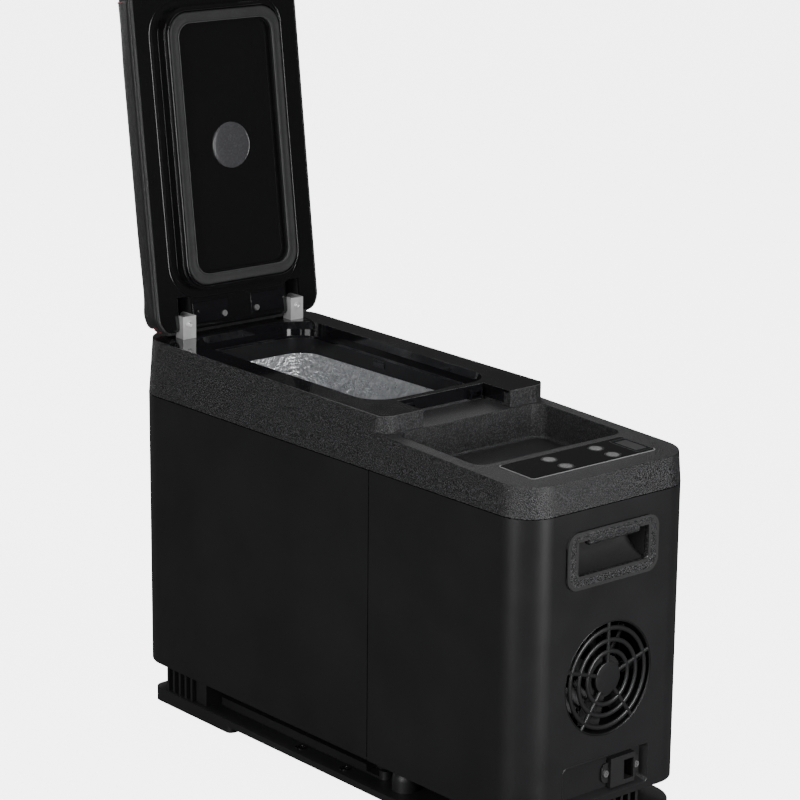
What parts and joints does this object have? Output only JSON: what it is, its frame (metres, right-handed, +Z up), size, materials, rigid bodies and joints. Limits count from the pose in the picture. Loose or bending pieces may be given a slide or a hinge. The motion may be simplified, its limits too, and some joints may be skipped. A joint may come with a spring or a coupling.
{
  "type": "compressor cooler fridge",
  "caption": "Narrow console cooler fridge with a front compressor bay, an insulated metal tub under a padded hinged lid, a front carrying handle and a mounting base.",
  "frame": {"origin": "on the floor under the middle of the cabinet, plumb below the centre of the four floor bolt holes", "axes": "+Z up; the front with fan and handle faces -Y; X runs across; the lid's hinge is at +Y"},
  "size_m": [0.2, 0.59, 0.7161],
  "materials": {
    "base_plate": "satin moulded black",
    "base_risers": "satin moulded black",
    "foot_pads": "matte",
    "base_posts": "glossy dark grey",
    "base_screws": "zinc plated",
    "bottom_pan": "satin black",
    "cabinet_shell": "smooth satin black",
    "compressor_cover": "smooth satin black",
    "fan_grille": "smooth satin black",
    "top_frame": "fine grained black",
    "opening_bezel": "polished black",
    "liner_collar": "glossy black",
    "liner_tub": "hammered, bright",
    "lamp_lens": "translucent",
    "tub_probe": "black epoxy",
    "insulation_foam": "polyurethane foam",
    "evaporator_coil": "copper tube",
    "partition": "galvanised",
    "compressor": "semi-gloss black",
    "compressor_mounts": "matte",
    "compressor_bolts": "zinc plated",
    "condenser_fins": "black painted fins",
    "condenser_tubes": "black painted tube",
    "filter_drier": "copper",
    "refrigerant_lines": "copper tube",
    "fan_frame": "moulded black",
    "fan_rotor": "moulded black",
    "fan_screws": "zinc plated",
    "controller_case": "moulded dark grey",
    "controller_board": "circuit board",
    "wire_harness": "insulated wire",
    "handle_housing": "fine grained black",
    "handle_grip": "satin black",
    "dc_panel": "satin black",
    "dc_inlet": "grained black",
    "dc_pins": "plated",
    "dc_screws": "bright",
    "control_panel": "polished black",
    "display_window": "smoked clear",
    "control_board": "circuit board",
    "button_power": "grey silicone",
    "button_mode": "grey silicone",
    "button_up": "grey silicone",
    "button_down": "grey silicone",
    "hinge_bracket_left": "satin pressed steel",
    "hinge_bracket_right": "satin pressed steel",
    "hinge_screws": "zinc plated",
    "hinge_pin_left": "ground",
    "hinge_pin_right": "ground",
    "pin_cover_left": "glossy black",
    "pin_cover_right": "glossy black",
    "pin_cover_screws": "blackened",
    "lid_liner": "glossy black",
    "lid_core": "polyurethane foam",
    "lid_cushion": "padded black leather, red stitching",
    "lid_gasket": "textured grey",
    "lid_disc": "translucent grey",
    "latch_lever": "glossy black",
    "latch_pin": "ground",
    "latch_spring": "spring wire"
  },
  "bodies": {
    "cabinet": {"base_plate": "base_plate", "base_risers": "base_risers", "foot_pads": "foot_pads", "base_posts": "base_posts", "base_screws": "base_screws", "bottom_pan": "bottom_pan", "cabinet_shell": "cabinet_shell", "compressor_cover": "compressor_cover", "fan_grille": "fan_grille", "top_frame": "top_frame", "opening_bezel": "opening_bezel", "liner_collar": "liner_collar", "liner_tub": "liner_tub", "lamp_lens": "lamp_lens", "tub_probe": "tub_probe", "insulation_foam": "insulation_foam", "evaporator_coil": "evaporator_coil", "partition": "partition", "compressor": "compressor", "compressor_mounts": "compressor_mounts", "compressor_bolts": "compressor_bolts", "condenser_fins": "condenser_fins", "condenser_tubes": "condenser_tubes", "filter_drier": "filter_drier", "refrigerant_lines": "refrigerant_lines", "fan_frame": "fan_frame", "fan_screws": "fan_screws", "controller_case": "controller_case", "controller_board": "controller_board", "wire_harness": "wire_harness", "handle_housing": "handle_housing", "handle_grip": "handle_grip", "dc_panel": "dc_panel", "dc_inlet": "dc_inlet", "dc_pins": "dc_pins", "dc_screws": "dc_screws", "control_panel": "control_panel", "display_window": "display_window", "control_board": "control_board", "hinge_bracket_left": "hinge_bracket_left", "hinge_bracket_right": "hinge_bracket_right", "hinge_screws": "hinge_screws"},
    "lid": {"lid_liner": "lid_liner", "lid_core": "lid_core", "lid_cushion": "lid_cushion", "lid_gasket": "lid_gasket", "lid_disc": "lid_disc", "pin_cover_left": "pin_cover_left", "pin_cover_right": "pin_cover_right", "pin_cover_screws": "pin_cover_screws", "hinge_pin_left": "hinge_pin_left", "hinge_pin_right": "hinge_pin_right", "latch_pin": "latch_pin", "latch_spring": "latch_spring"},
    "latch": {"latch_lever": "latch_lever"},
    "fan": {"fan_rotor": "fan_rotor"},
    "button_power": {"button_power": "button_power"},
    "button_mode": {"button_mode": "button_mode"},
    "button_up": {"button_up": "button_up"},
    "button_down": {"button_down": "button_down"}
  },
  "joints": [
    {"name": "lid_hinge", "type": "hinge", "parent": "cabinet", "child": "lid", "pos_m": [0, 0.2494, 0.376], "axis": [1, 0, 0], "range_deg": [0, 97.8]},
    {"name": "latch_pull", "type": "hinge", "parent": "lid", "child": "latch", "pos_m": [0, 0.28496, 0.68941], "axis": [-1, 0, 0], "range_deg": [0, 14], "stiffness_Nm_per_rad": 0.12, "springref_deg": -14.32},
    {"name": "fan_spin", "type": "hinge", "parent": "cabinet", "child": "fan", "pos_m": [0, -0.262, 0.152], "axis": [0, 1, 0], "continuous": true},
    {"name": "press_power", "type": "slide", "parent": "cabinet", "child": "button_power", "axis": [0, 0.0384, -0.9993], "range_m": [0, 0.001], "stiffness_N_per_m": 400, "springref_m": -0.0008},
    {"name": "press_mode", "type": "slide", "parent": "cabinet", "child": "button_mode", "axis": [0, 0.0384, -0.9993], "range_m": [0, 0.001], "stiffness_N_per_m": 400, "springref_m": -0.0008},
    {"name": "press_up", "type": "slide", "parent": "cabinet", "child": "button_up", "axis": [0, 0.0384, -0.9993], "range_m": [0, 0.001], "stiffness_N_per_m": 400, "springref_m": -0.0008},
    {"name": "press_down", "type": "slide", "parent": "cabinet", "child": "button_down", "axis": [0, 0.0384, -0.9993], "range_m": [0, 0.001], "stiffness_N_per_m": 400, "springref_m": -0.0008}
  ]
}
